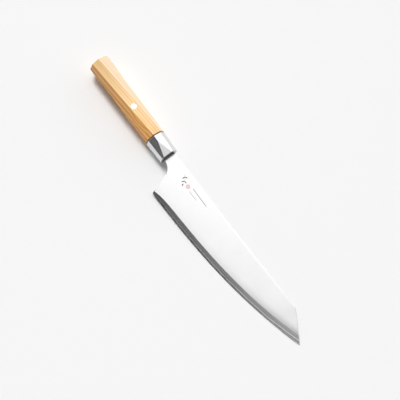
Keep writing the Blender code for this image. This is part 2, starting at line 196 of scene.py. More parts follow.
def blade_half(x, y):
    """Half the blade's thickness over a point.

    On the face it is the plane, less a parabola that rolls it over toward the ridge.  On the
    bevel it is the ground rise from the edge to the ridge, and on the honed strip a line down
    to the keen edge.
    """
    top, bottom = bevel_top(x), edge_line(x)
    roll = np.clip(1.0 - (y - top) / FACE_ROLL_WIDTH, 0.0, 1.0) ** 2
    face = face_half(x, y) - face_roll(x) * roll
    share = np.clip((y - bottom) / (top - bottom), 0.0, 1.0)
    ground = EDGE_HALF + (ridge_half(x) - EDGE_HALF) * ground_share(share)
    honed = np.clip((y - bottom) / HONED_WIDTH, 0.0, 1.0)
    keen = KEEN_HALF + (HONED_HALF - KEEN_HALF) * honed
    bevel = np.where(honed < 1.0, keen, np.maximum(ground, HONED_HALF))
    return np.where(y < top, bevel, face)


def core_half(x):
    """Half the core's thickness, which wanders as the sum of three sines, as forged layers do."""
    wander = sum(height * np.sin(x * rate + start) for height, rate, start in CORE_WAVES)
    return CORE_HALF + CORE_WAVE * wander / sum(height for height, _, _ in CORE_WAVES)


def layer_line(x):
    """Where the core comes out on the bevel: the ground rise, read backwards from samples."""
    shares = np.linspace(0.0, 1.0, RISE_SAMPLES)
    rise = (core_half(x) - EDGE_HALF) / (ridge_half(x) - EDGE_HALF)
    share = np.interp(rise, ground_share(shares), shares)
    return edge_line(x) + share * (bevel_top(x) - edge_line(x))


def crossing(upper, lower, start, end):
    """The place from start to end where one line falls below another, between close samples."""
    x = np.linspace(start, end, CROSSING_SAMPLES)
    return np.interp(0.0, lower(x) - upper(x), x)


def rows_between(bottom, top, near_bottom, near_top, evenly):
    """Heights of rows: some at set distances inside each line, and the rest evenly between.

    Where the lines come close, the set distances shrink to nine tenths of the room.
    """
    squeeze = np.minimum(1.0, 0.9 * (top - bottom) / (near_bottom[-1] + near_top[-1]))
    low = bottom + np.multiply.outer(near_bottom, squeeze)
    high = top - np.multiply.outer(near_top[::-1], squeeze)
    shares = np.linspace(0.0, 1.0, evenly + 2)[1:-1, None]
    middle = low[-1] + (high[0] - low[-1]) * shares
    return np.concatenate((low, middle, high))


def numbered(rows, columns, first=0):
    """The point numbers of a grid, row by row."""
    return first + np.arange(rows * columns).reshape(rows, columns)


def grid_faces(index):
    """Quads of numbered points: one, its neighbour in the row and the two above, anticlockwise."""
    corners = (index[:-1, :-1], index[:-1, 1:], index[1:, 1:], index[1:, :-1])
    return np.stack(corners, axis=-1).reshape(-1, 4)


def as_points(*axes):
    """Points from their coordinates along each axis, which are grids, rows or columns."""
    return np.stack(np.broadcast_arrays(*axes), axis=-1).reshape(-1, len(axes))


def blade_plan(bottom_line, split_line, below_split, above_split):
    """The plan of a layer of the blade, as points in x and y, and quads.

    Columns run from the tang to the tip.  The strip from bottom_line to split_line and the part
    from there to the spine are two grids.  The rows of each are given by their distances from
    its lower line, by those from its upper line, and by how many lie evenly between.  Points
    that agree to a nanometre are made one.
    """
    first = crossing(choil_line, split_line, CHOIL_END_X, HEEL_X) + TINY
    last = crossing(upper_outline, split_line, SLANT_X, TIP_X) - TINY
    start = crossing(choil_line, bottom_line, CHOIL_END_X, HEEL_X + TINY)
    end = crossing(upper_outline, bottom_line, SLANT_X, TIP_X) - TINY
    turns = np.linspace(0.0, math.pi / 2 - CHOIL_LEAN, ARC_COLUMNS)
    x = np.unique(np.concatenate((
        np.linspace(TANG_END, TANG_START, TANG_COLUMNS), (SHOULDER_X, BOLSTER_FRONT),
        CHOIL_START + CHOIL_RADIUS * np.sin(turns), np.linspace(CHOIL_END_X, start, CHOIL_COLUMNS),
        np.linspace(start, SLANT_X, EDGE_COLUMNS), np.linspace(SLANT_X, end, SLANT_COLUMNS),
        (first, last))))
    top, split = upper_outline(x), split_line(x)
    bottom = np.maximum(lower_outline(x), bottom_line(x))
    strip = (x >= first) & (x <= end)
    face = x <= last
    plans, faces, points_before = [], [], 0
    for chosen, low, high, (near_low, near_high, evenly) in (
            (strip, bottom, np.minimum(split, top), below_split),
            (face, np.where(x < first, bottom, split), top, above_split)):
        y = rows_between(low[chosen], high[chosen], near_low, near_high, evenly)
        plans.append(as_points(x[chosen], y))
        faces.append(grid_faces(numbered(*y.shape, points_before)))
        points_before += y.size
    points, faces = np.concatenate(plans), np.concatenate(faces)
    _, kept, place = np.unique(
        np.round(points / NANOMETRE).astype(np.int64), axis=0,
        return_index=True, return_inverse=True)
    return points[kept], place.reshape(-1)[faces]


def plate(plan, faces, upper, lower):
    """A closed plate over a plan.

    It has the plan's faces at the upper heights, the same turned over at the lower heights,
    and a wall along each border, which is an edge that only one face has.
    """
    count = len(plan)
    start, end = faces.ravel(), np.roll(faces, -1, axis=1).ravel()
    border = ~np.isin(start * count + end, end * count + start)
    start, end = start[border], end[border]
    walls = np.stack((end, start, start + count, end + count), axis=1)
    points = np.concatenate((np.column_stack((plan, upper)), np.column_stack((plan, lower))))
    return points, np.concatenate((faces, faces[:, ::-1] + count, walls))


def smooth_shaded(mesh):
    """Shades the mesh smoothly, apart from edges where it turns by more than the sharp angle."""
    mesh.shade_smooth()
    mesh.set_sharp_from_angle(angle=SHARP_ANGLE)


scene = bpy.context.scene


def new_object(name, points, faces):
    """An object at the origin, whose mesh has its points in scene coordinates."""
    mesh = bpy.data.meshes.new(name)
    mesh.from_pydata(points.tolist(), [], faces)
    item = bpy.data.objects.new(name, mesh)
    scene.collection.objects.link(item)
    return item


def knife_piece(name, finish, points, faces, caps=()):
    """A finished object from knife coordinates, riding on the knife.  Caps are flat end faces."""
    piece = new_object(name, laid(points), faces.tolist() + list(caps))
    piece.data.materials.append(finish)
    smooth_shaded(piece.data)
    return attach(piece, "root")


def fed(tree, node, inputs):
    """The node, with its inputs set to values or linked from sockets."""
    for key, value in inputs.items():
        if isinstance(value, bpy.types.NodeSocket):
            tree.links.new(value, node.inputs[key])
        else:
            node.inputs[key].default_value = value
    return node


def add_node(tree, kind, inputs=None, **settings):
    """A new shader node with its own settings and its inputs."""
    node = tree.nodes.new("ShaderNode" + kind)
    for key, value in settings.items():
        setattr(node, key, value)
    return fed(tree, node, inputs or {})


def vector_maths(tree, operation, *values):
    """The result of a Vector Math node: a number for a length or a dot product, or a vector."""
    node = add_node(tree, "VectorMath", dict(enumerate(values)), operation=operation)
    return node.outputs["Value" if operation in ("LENGTH", "DOT_PRODUCT") else "Vector"]


def new_finish(name, **constants):
    """A material with its shader's constant sockets set, and its node tree."""
    material = bpy.data.materials.new(name)
    material.use_nodes = True
    tree = material.node_tree
    constants = {key.replace("_", " "): value for key, value in constants.items()}
    fed(tree, tree.nodes["Principled BSDF"], constants)
    return material, tree


def surfaced(material, colour, rough, relief, strength, distance=0.0001):
    """The material, with its colour, its roughness and the bump of its relief."""
    tree = material.node_tree
    bump = add_node(tree, "Bump", {
        "Height": relief, "Strength": strength, "Distance": distance}).outputs["Normal"]
    fed(tree, tree.nodes["Principled BSDF"], {
        "Base Color": colour, "Roughness": rough, "Normal": bump})
    return material


def knife_place(tree):
    """Knife coordinates in millimetres, from Object coordinates centred and turned by Mapping."""
    place = add_node(tree, "TexCoord").outputs["Object"]
    turn = Matrix(knife_axes.T.tolist()).to_euler()
    return add_node(tree, "Mapping", {
        "Vector": place, "Location": butt_middle.tolist(), "Rotation": turn,
        "Scale": (0.001, 0.001, 0.001)}, vector_type="TEXTURE").outputs["Vector"]


def stretched_noise(tree, place, rates, detail=3.0, roughness=0.55):
    """Noise that changes at its own rate along each axis, centred on one half."""
    scaled = vector_maths(tree, "MULTIPLY", place, rates)
    return add_node(tree, "TexNoise", {
        "Vector": scaled, "Scale": 1.0, "Detail": detail, "Roughness": roughness}).outputs["Fac"]


def between(tree, share, low, high, start=0.3, end=0.7, **settings):
    """A number that goes from low to high as share goes from start to end."""
    inputs = {"Value": share, "From Min": start, "From Max": end, "To Min": low, "To Max": high}
    return add_node(tree, "MapRange", inputs, **settings).outputs["Result"]


def blended(tree, share, first, second):
    """A colour that goes from first to second with share."""
    first, second = (
        (*colour, 1.0) if isinstance(colour, tuple) else colour for colour in (first, second))
    inputs = {0: share, 6: first, 7: second}
    return add_node(tree, "Mix", inputs, data_type="RGBA").outputs[2]


def note(piece, name, values):
    """Stores a value for each point of a plan as an attribute, on both sides of its plate."""
    attribute = piece.data.attributes.new(name, "FLOAT", "POINT")
    attribute.data.foreach_set("value", np.tile(values, 2).astype(np.float32))


def noted(tree, name):
    """The value that the mesh stores under a name."""
    return add_node(tree, "Attribute", attribute_name=name).outputs["Fac"]


def rise_over_edge(x, y):
    """How far a point lies over the edge, in millimetres."""
    return (y - edge_line(x)) * 1000.0


def place_along_edge(tree, place):
    """The distance along the knife and the stored rise over the edge, for scratches along it."""
    along = add_node(tree, "SeparateXYZ", {0: place}).outputs["X"]
    return add_node(tree, "CombineXYZ", {0: along, 1: noted(tree, "rise")}).outputs[0]


def edge_steel_finish():
    """Hard steel, stoned along the edge, with fine scratches lengthways and faint haze.  It is a
    little darker than the bevel: partly its own steel, partly a painted shadow along the edge.
    """
    material, tree = new_finish("edge steel", Metallic=1.0)
    place = knife_place(tree)
    scratches = stretched_noise(tree, place_along_edge(tree, place), (0.15, 9.0, 0.0))
    haze = stretched_noise(tree, place, (0.12, 0.5, 0.5), detail=2.0)
    # Partly painted shadow: the core's colour is kept darker than the bevel's, standing for the
    # shadow along the edge.
    colour = blended(tree, scratches, (0.42, 0.425, 0.43), (0.58, 0.585, 0.59))
    return surfaced(
        material, colour, between(tree, haze, 0.14, 0.22), scratches, 0.10, distance=0.0002)


honed_rows = np.array((0.0, 0.5, 1.0, 1.5)) * HONED_WIDTH
border_row = np.array((0.0, 0.0001))
core_plan, core_faces = blade_plan(
    edge_line, layer_line, (honed_rows, border_row / 2, 4), (border_row, border_row, 6))
x, y = core_plan.T
upper = np.minimum(blade_half(x, y), core_half(x))
core_piece = knife_piece(
    "core_layer", edge_steel_finish(), *plate(core_plan, core_faces, upper, -upper))
note(core_piece, "rise", rise_over_edge(x, y))
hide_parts("blade_core")

# Claddings
# Two outer layers of softer stainless steel, forge-welded to the core.  Their flat faces have a
# satin polish across the blade, and the bevel is ground and stoned along it.

LAYER_GAP = 0.000006
LIP_THICKNESS = 0.000004
WELD_GLINT_LINE = 0.00048
WELD_GLINT_FADE = (0.8, 1.2)
BORDER_EASE = 0.00006
NEAR_RIDGE = np.array((0.0, 0.00003, 0.00010))
NEAR_BORDER = np.array((0.0, 0.06, 0.18, 0.38, 0.65, 1.0)) * BORDER_EASE


def border_distance(x, y):
    """How far a point lies inside the spine, the slant, the neck and the choil."""
    along = math.cos(math.atan2(SPINE_END_ABOVE_AXIS + TIP_BELOW_AXIS, SLANT_RUN))
    spine = (upper_outline(x) - y) * np.where(x < SLANT_X, 1.0, along)
    from_arc_x, from_arc_y = x - CHOIL_START, y + NECK_BELOW_AXIS + CHOIL_RADIUS
    arc = np.hypot(from_arc_x, from_arc_y) - CHOIL_RADIUS
    straight = (y - choil_line(x)) * math.sin(CHOIL_LEAN)
    choil = np.where(np.arctan2(from_arc_y, from_arc_x) > CHOIL_LEAN, arc, straight)
    neck = y + NECK_BELOW_AXIS
    return np.minimum(spine, np.where(x < CHOIL_START, neck, choil))


def eased(x, y):
    """The fall of a quarter round along the blade's border."""
    inside = np.clip(border_distance(x, y) / BORDER_EASE, 0.0, 1.0)
    return BORDER_EASE * (1.0 - np.sqrt(1.0 - (1.0 - inside) ** 2))


def maths(tree, operation, *values):
    """The result of a Math node on numbers or sockets."""
    return add_node(tree, "Math", dict(enumerate(values)), operation=operation).outputs[0]


def cladding_finish():
    """Satin steel on the face, a hazy stoned bevel, and a near-white line along the core that is
    partly the weld line and partly a painted highlight for the glint of the edge.
    """
    material, tree = new_finish("satin cladding steel", Metallic=1.0)
    place = knife_place(tree)
    ground = noted(tree, "ground")
    brushed = stretched_noise(tree, place, (5.0, 0.10, 0.10), detail=4.0)
    drift = stretched_noise(tree, place, (0.035, 0.02, 0.02), detail=2.0)
    stoned = stretched_noise(tree, place_along_edge(tree, place), (0.04, 4.5, 0.0), detail=4.0)
    cloud = stretched_noise(tree, place, (0.30, 0.45, 0.45))
    face_colour = blended(tree, brushed, (0.68, 0.68, 0.68), (0.785, 0.785, 0.785))
    bevel_colour = blended(tree, stoned, (0.38, 0.385, 0.39), (0.69, 0.695, 0.70))
    bevel_colour = blended(
        tree, between(tree, cloud, 0.0, 0.4), bevel_colour, (0.60, 0.60, 0.60))
    # Partly the real weld line, partly a painted highlight for the edge's glint: the band along the
    # core is near white.
    bevel_colour = blended(tree, noted(tree, "weld_glint"), bevel_colour, (0.98, 0.98, 0.98))
    colour = blended(tree, ground, face_colour, bevel_colour)
    face_rough = maths(
        tree, "ADD", between(tree, brushed, 0.175, 0.235), between(tree, drift, -0.02, 0.03))
    bevel_rough = between(tree, stoned, 0.18, 0.26)
    rough = add_node(tree, "Mix", {0: ground, 2: face_rough, 3: bevel_rough}).outputs[0]
    lines = add_node(tree, "Mix", {0: ground, 2: brushed, 3: stoned}).outputs[0]
    return surfaced(material, colour, rough, lines, 0.06, distance=0.0002)


cladding_steel = cladding_finish()
weld_glint_rows = np.array((0.0, *WELD_GLINT_FADE)) * WELD_GLINT_LINE
cladding_plan, cladding_faces = blade_plan(
    layer_line, bevel_top, (weld_glint_rows, NEAR_RIDGE, 8), (NEAR_RIDGE, NEAR_BORDER, 22))
x, y = cladding_plan.T
inner = core_half(x) + LAYER_GAP
outer = np.maximum(blade_half(x, y) - eased(x, y), inner + LIP_THICKNESS)
on_bevel = y < bevel_top(x) + 10 * NANOMETRE
# The share of the weld line, which also carries a painted highlight for the edge's glint.
on_weld_glint = np.interp((y - layer_line(x)) / WELD_GLINT_LINE, WELD_GLINT_FADE, (1.0, 0.0))
notes = {"ground": on_bevel, "weld_glint": on_weld_glint, "rise": rise_over_edge(x, y)}
claddings = []
for side, upper, lower in (("right", outer, inner), ("left", -inner, -outer)):
    cladding = knife_piece(
        "cladding_layer_" + side, cladding_steel,
        *plate(cladding_plan, cladding_faces, upper, lower))
    for name, values in notes.items():
        note(cladding, name, values)
    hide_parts("cladding_" + side)
    claddings.append(cladding)

# Ornament on the blade
# A small sprig, a ring and two plain rules, printed on the right-hand face in dark grey and red.
# It is a plain ornament of the size that such blades carry near the spine.

FILM_PROUD = 0.000010
FILM_SUNK = 0.000020
STEM_START = (0.1498, 0.0020)
STEM_END = (0.1568, -0.0050)
STEM_BOW = 0.0010
STEM_HALF_WIDTH = 0.00016
STEM_THINNING = 0.8
LEAF_SHARES = (0.25, 0.68)
END_LEAF_SHARE = 0.95
LEAF_LEAN = math.radians(58.0)
LEAF_LENGTH = 0.0032
LEAF_HALF_WIDTH = 0.00056
LEAF_FULLNESS = 0.8
LEAF_SPAN = (0.04, 0.96)
SPRIG_GRID = (5, 15)
RING_MIDDLE = (0.1620, -0.0026)
RING_RADIUS = 0.0014
RING_HALF_WIDTH = 0.00095
RING_GRID = (4, 48)
RULES = ((0.1670, 0.1894, 0.0002, 0.00024), (0.1670, 0.1784, -0.0043, 0.00015))
RULE_GRID = (2, 12)


def film(name, finish, plan, faces):
    """A printed film: the plan a hundredth of a millimetre proud of the face, sunk into it."""
    face = blade_half(*plan.T)
    return knife_piece(name, finish, *plate(plan, faces, face + FILM_PROUD, face - FILM_SUNK))


def stem_place(share):
    """The stem's middle line: from its start to its end, bowed aside by a parabola."""
    start, end = np.array(STEM_START), np.array(STEM_END)
    run = end - start
    aside = unit(np.array((-run[1], run[0])))
    share = np.asarray(share, dtype=float)[..., None]
    return start + run * share + 4.0 * STEM_BOW * share * (1.0 - share) * aside


def stem_way(share):
    """The direction of the stem's middle line, as an angle."""
    ahead, behind = stem_place(share + 0.01), stem_place(share - 0.01)
    return np.arctan2(*(ahead - behind)[..., ::-1].T)


def stem_plan():
    """The stem: its middle line, moved to both sides by a width that thins evenly."""
    share = np.linspace(0.0, 1.0, SPRIG_GRID[1])
    way = stem_way(share)
    aside = np.stack((-np.sin(way), np.cos(way)), axis=-1) * STEM_HALF_WIDTH
    aside *= (1.0 - STEM_THINNING * share)[:, None]
    across = np.linspace(-1.0, 1.0, SPRIG_GRID[0])[:, None, None]
    return (stem_place(share) + across * aside).reshape(-1, 2)


def leaf_plan(share, side):
    """A leaf that leans away from the stem: its width is a power of a sine along its vein."""
    way = stem_way(share) + side * LEAF_LEAN
    along = np.linspace(*LEAF_SPAN, SPRIG_GRID[1])
    half = LEAF_HALF_WIDTH * np.sin(math.pi * along) ** LEAF_FULLNESS
    across = np.multiply.outer(np.linspace(-1.0, 1.0, SPRIG_GRID[0]), half)
    run = LEAF_LENGTH * along
    x, y = stem_place(share)
    x = x + run * math.cos(way) - across * math.sin(way)
    y = y + run * math.sin(way) + across * math.cos(way)
    return as_points(x, y)


def full_turn(count):
    """Angles evenly round a circle."""
    return np.linspace(0.0, 2.0 * math.pi, count, endpoint=False)


def ring_plan():
    """A ring: points round a circle, from the outer radius to the inner."""
    turn = full_turn(RING_GRID[1])
    radius = RING_RADIUS + RING_HALF_WIDTH * np.linspace(1.0, -1.0, RING_GRID[0])[:, None]
    return as_points(
        RING_MIDDLE[0] + radius * np.cos(turn), RING_MIDDLE[1] + radius * np.sin(turn))


def ink_finish(name, colour, worn):
    """Baked ink: flat, a little worn through to the steel along the brushing."""
    material, tree = new_finish(name, Metallic=0.0)
    wear = stretched_noise(tree, knife_place(tree), (6.0, 1.5, 1.5))
    colour = blended(tree, between(tree, wear, 0.0, 0.45, 0.5, 0.8), colour, worn)
    return surfaced(material, colour, between(tree, wear, 0.45, 0.60), wear, 0.10)


def many(plans, grid):
    """Plans of the same number of rows and columns, put together as one."""
    faces = [grid_faces(numbered(*grid, len(plan) * place)) for place, plan in enumerate(plans)]
    return np.concatenate(plans), np.concatenate(faces)


dark_ink = ink_finish("dark ink", (0.075, 0.070, 0.068), (0.30, 0.30, 0.30))
red_ink = ink_finish("red ink", (0.84, 0.54, 0.55), (0.84, 0.68, 0.68))
sprig = [stem_plan(), leaf_plan(END_LEAF_SHARE, 0.0)]
sprig += [leaf_plan(share, side) for share in LEAF_SHARES for side in (-1.0, 1.0)]
film("printed_sprig", dark_ink, *many(sprig, SPRIG_GRID))
rules = []
for start, end, middle, half in RULES:
    sides = np.array(((middle - half,), (middle + half,)))
    rules.append(as_points(np.linspace(start, end, RULE_GRID[1]), sides))
film("printed_rules", dark_ink, *many(rules, RULE_GRID))
ring_index = np.pad(numbered(*RING_GRID), ((0, 0), (0, 1)), mode="wrap")
film("printed_ring", red_ink, ring_plan(), grid_faces(ring_index))

# Bolster
# A solid collar of stainless steel, milled to eight sides and planed down on two of them toward
# its blunt front, then polished.  The neck of the blade comes out of the slot in its front.

EIGHTH = math.pi / 4
FACET_TURNS = EIGHTH / 2 + EIGHTH * np.arange(8)
HANDLE_FRONT_RADIUS = 0.0109
BOLSTER_LENGTH = 0.0237
BOLSTER_FRONT_RADIUS = 0.0101
BOLSTER_STRAIGHT = 0.0052
BOLSTER_FRONT_HALF_THICKNESS = 0.0080
BOLSTER_CORNER_ROUND = 0.00035
BOLSTER_CRISPNESS = 170.0
BOLSTER_AROUND = 336
BOLSTER_RINGS = 96
FRONT_FACE_SHARES = (0.3, 0.6, 0.85, 0.95, 1.0)
SLOT_MARGIN = 0.0004
SLOT_CRISPNESS = 60.0
SLOT_RINGS = 5
POCKET_HALF_SIZES = (0.0064, 0.0023)
POCKET_MARGIN = 0.0012
BOLSTER_START = BOLSTER_FRONT - BOLSTER_LENGTH


def rounded_polygon(angles, facets, distances, crispness):
    """The radius of a polygon with softened corners, at angles from straight out of the face.

    Each facet's share is the cosine of the angle to it over its distance from the axis.  The
    shares are raised to a high power, the crispness, and added.  The radius is one over the
    root of that sum.
    """
    shares = np.maximum(np.cos(angles[..., None] - facets), 1e-6) / distances
    largest = shares.max(axis=-1)
    powered = ((shares / largest[..., None]) ** crispness).sum(axis=-1)
    return 1.0 / (largest * powered ** (1.0 / crispness))


def slot_radius(angles, half_height, half_thickness):
    """The radius of a rectangle with slightly rounded corners, for a slot round the axis."""
    facets = np.array((0.0, 0.5, 1.0, 1.5)) * math.pi
    distances = np.tile((half_thickness, half_height), 2)
    return rounded_polygon(angles, facets, distances, SLOT_CRISPNESS)


def ring_points(x, radii, angles):
    """Rings round the knife's axis: x, then the radius times the sine and the cosine."""
    return as_points(x[:, None], radii * np.sin(angles), radii * np.cos(angles))


def ring_faces(rings, around, closed):
    """Quads between rings that each close on themselves, and between last and first if closed."""
    index = np.pad(numbered(rings, around), ((0, int(closed)), (0, 1)), mode="wrap")
    return grid_faces(index)[:, [0, 3, 2, 1]]


def bolster_corner(run):
    """The radius to the bolster's corners, which tapers evenly with the run from its back."""
    return HANDLE_FRONT_RADIUS + (BOLSTER_FRONT_RADIUS - HANDLE_FRONT_RADIUS) * (
        run / BOLSTER_LENGTH)


def bolster_radius(x, angles):
    """The bolster's eight facets, which taper evenly, and the two planed sides that cut in."""
    run = x - BOLSTER_START
    eight = bolster_corner(run) * math.cos(EIGHTH / 2)
    start_half = bolster_corner(BOLSTER_STRAIGHT)
    fall = (start_half - BOLSTER_FRONT_HALF_THICKNESS) / (BOLSTER_LENGTH - BOLSTER_STRAIGHT)
    planed = start_half - fall * (run - BOLSTER_STRAIGHT)
    facets = np.concatenate((FACET_TURNS, (0.0, math.pi)))
    distances = np.column_stack([eight] * 8 + [planed] * 2)[:, None, :]
    return rounded_polygon(angles, facets, distances, BOLSTER_CRISPNESS)


def rounded_end(corner, steps):
    """Falls along the axis and inwards for a quarter round, from the side to the end face."""
    turn = np.linspace(0.0, math.pi / 2, steps)
    return corner * (1.0 - np.sin(turn)), corner * (1.0 - np.cos(turn))


def bolster_mesh():
    """Rings along the outside, over the front face, back through the slot and the pocket."""
    angles = full_turn(BOLSTER_AROUND)[None, :]
    back_fall, back_in = (part[::-1] for part in rounded_end(BOLSTER_CORNER_ROUND / 3, steps=4))
    front_fall, front_in = rounded_end(BOLSTER_CORNER_ROUND, steps=7)
    side_x = np.linspace(BOLSTER_START + BOLSTER_CORNER_ROUND,
                         BOLSTER_FRONT - 1.2 * BOLSTER_CORNER_ROUND, BOLSTER_RINGS)
    x = np.concatenate((BOLSTER_START + back_fall, side_x, BOLSTER_FRONT - front_fall))
    inset = np.concatenate((back_in, np.zeros(BOLSTER_RINGS), front_in))
    outside = bolster_radius(x, angles) - inset[:, None]
    slot = slot_radius(angles, NECK_ABOVE_AXIS + SLOT_MARGIN, NECK_THICKNESS / 2 + SLOT_MARGIN)
    pocket = slot_radius(angles, *POCKET_HALF_SIZES)
    stations = [(x, outside)]
    for share in FRONT_FACE_SHARES:
        stations.append(([BOLSTER_FRONT], outside[-1:] + (slot - outside[-1:]) * share))
    pocket_end = SHOULDER_X + POCKET_MARGIN
    slot_x = np.linspace(BOLSTER_FRONT, pocket_end, SLOT_RINGS + 1)[1:]
    pocket_x = np.linspace(pocket_end, BOLSTER_START, SLOT_RINGS + 1)
    stations.append((slot_x, np.repeat(slot, len(slot_x), axis=0)))
    stations.append((pocket_x, np.repeat(pocket, len(pocket_x), axis=0)))
    x, radii = (np.concatenate(parts) for parts in zip(*stations))
    return ring_points(x, radii, angles), ring_faces(len(x), BOLSTER_AROUND, closed=True)


def bolster_finish():
    """Stainless steel polished on a fine belt that ran round it, with painted shade darkening its
    front face.
    """
    material, tree = new_finish("polished bolster steel", Metallic=1.0)
    place = knife_place(tree)
    lines = stretched_noise(tree, place, (7.0, 0.12, 0.12), detail=4.0)
    smudges = stretched_noise(tree, place, (0.22, 0.22, 0.22))
    side_colour = blended(tree, lines, (0.71, 0.715, 0.72), (0.80, 0.805, 0.81))
    along = add_node(tree, "SeparateXYZ", {0: place}).outputs["X"]
    # Painted shade: the front face is coloured darker than the sides.
    front = (BOLSTER_FRONT - BOLSTER_CORNER_ROUND / 2) * 1000.0
    front_painted_dark = between(tree, along, 0.0, 1.0, front - 0.02, front + 0.02)
    colour = blended(tree, front_painted_dark, side_colour, (0.44, 0.44, 0.45))
    rough = maths(
        tree, "ADD", between(tree, lines, 0.10, 0.16), between(tree, smudges, -0.01, 0.05))
    return surfaced(material, colour, rough, lines, 0.04)


bolster_piece = knife_piece("bolster_collar", bolster_finish(), *bolster_mesh())
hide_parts("bolster")

# Spacer
# A thin plate of dark red-brown fibre between the steel and the wood.  It is glued to both, and
# ground flush with them.

SEAM_GAP = 0.00005
SPACER_THICKNESS = 0.0011
SPACER_ROUND = 0.00008
SPACER_AROUND = 256
SPACER_START = BOLSTER_START - SEAM_GAP - SPACER_THICKNESS


def spacer_mesh():
    """Rings round the outside of the plate and back through its opening."""
    angles = full_turn(SPACER_AROUND)[None, :]
    fall, inset = rounded_end(SPACER_ROUND, steps=4)
    end = SPACER_START + SPACER_THICKNESS
    x = np.concatenate((SPACER_START + fall[::-1], end - fall))
    distances = np.full(8, HANDLE_FRONT_RADIUS * math.cos(EIGHTH / 2))
    outside = rounded_polygon(angles, FACET_TURNS, distances, BOLSTER_CRISPNESS)
    radii = outside - np.concatenate((inset[::-1], inset))[:, None]
    opening = slot_radius(angles, *POCKET_HALF_SIZES)
    x = np.concatenate((x, (end, SPACER_START)))
    radii = np.concatenate((radii, opening, opening))
    return ring_points(x, radii, angles), ring_faces(len(x), SPACER_AROUND, closed=True)


def fibre_finish():
    """Pressed fibre: dark red-brown, flecked along its layers, with a dull sheen."""
    material, tree = new_finish("red-brown fibre", Metallic=0.0, Specular_IOR_Level=0.4)
    flecks = stretched_noise(tree, knife_place(tree), (9.0, 1.6, 1.6))
    colour = blended(tree, flecks, (0.050, 0.011, 0.009), (0.170, 0.038, 0.030))
    return surfaced(material, colour, between(tree, flecks, 0.42, 0.58), flecks, 0.15)


spacer_piece = knife_piece("spacer_plate", fibre_finish(), *spacer_mesh())
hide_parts("spacer")

# Handle
# One piece of pale straight-grained wood, bored for the tang and cut to eight sides.  The sides
# turn slowly along the handle, so that they line up with the bolster only at its front.  Turn
# and taper follow the solid's length, and the visible wood ends just short of it.

HANDLE_LENGTH = 0.1003
HANDLE_BUTT_RADIUS = 0.0117
HANDLE_TWIST = math.radians(38.0)
BUTT_ROUND = 0.0006
FRONT_ROUND = 0.00010
HANDLE_CRISPNESS = 110.0
FACET_POINTS = 18
CORNER_CROWDING = 0.8
HANDLE_RINGS = 130
POCKET_RINGS = 12
HANDLE_END = SPACER_START - SEAM_GAP
GRAIN_LEAN = 0.075
GRAIN_HEART = (0.0, -40.0, 6.0)
YEARS_PER_MM = 0.345
YEAR_PHASE = 0.59
# Painted light: between these distances from the heart the colours step from painted shade to a
# painted sheen.
PAINTED_SHADE_FROM = 28.0
PAINTED_SHEEN_TO = 48.0
CROOK_PLACE = (80.0, -9.0, 8.0)
CROOK_REACH = (16.0, 5.0, 5.0)
CROOK_HEIGHT = 3.0
BEND_HEIGHT = 2.2
UNEVEN_HEIGHT = 2.6
SUMMER_CURVE = ((0.0, 0.12), (0.45, 0.25), (0.78, 1.0), (0.90, 0.85), (1.0, 0.10))
# Painted light: deeper, redder colours paint shade on the edge-side facets, paler ones a sheen on
# the spine-side facets.
PAINTED_LIGHT_STOPS = (0.0, 0.23, 0.27, 0.63, 0.69, 1.0)
PALE_WOOD_PAINTED_LIGHT = ((0.90, 0.51, 0.17), (0.85, 0.47, 0.15), (0.93, 0.66, 0.33),
             (0.92, 0.67, 0.37), (0.90, 0.71, 0.52), (0.90, 0.72, 0.54))
AMBER_WOOD_PAINTED_LIGHT = ((0.56, 0.20, 0.045), (0.60, 0.22, 0.050), (0.84, 0.43, 0.12),
              (0.86, 0.46, 0.14), (0.90, 0.62, 0.34), (0.90, 0.64, 0.38))
PORE_COLOUR = (0.52, 0.24, 0.07)


def handle_turn(x):
    """The turn of the corners: none at the front, and the whole twist at the butt."""
    return -HANDLE_TWIST * (1.0 - x / HANDLE_LENGTH)


def handle_radius(x):
    """The radius to the handle's corners, which grows evenly from the front to the butt."""
    return HANDLE_BUTT_RADIUS + (HANDLE_FRONT_RADIUS - HANDLE_BUTT_RADIUS) * x / HANDLE_LENGTH


def end_caps(rings, around, turned):
    """The flat ends of a rod of rings, its first and its last ring, one of them turned over."""
    caps = numbered(rings, around)[[0, -1]].tolist()
    caps[turned].reverse()
    return caps


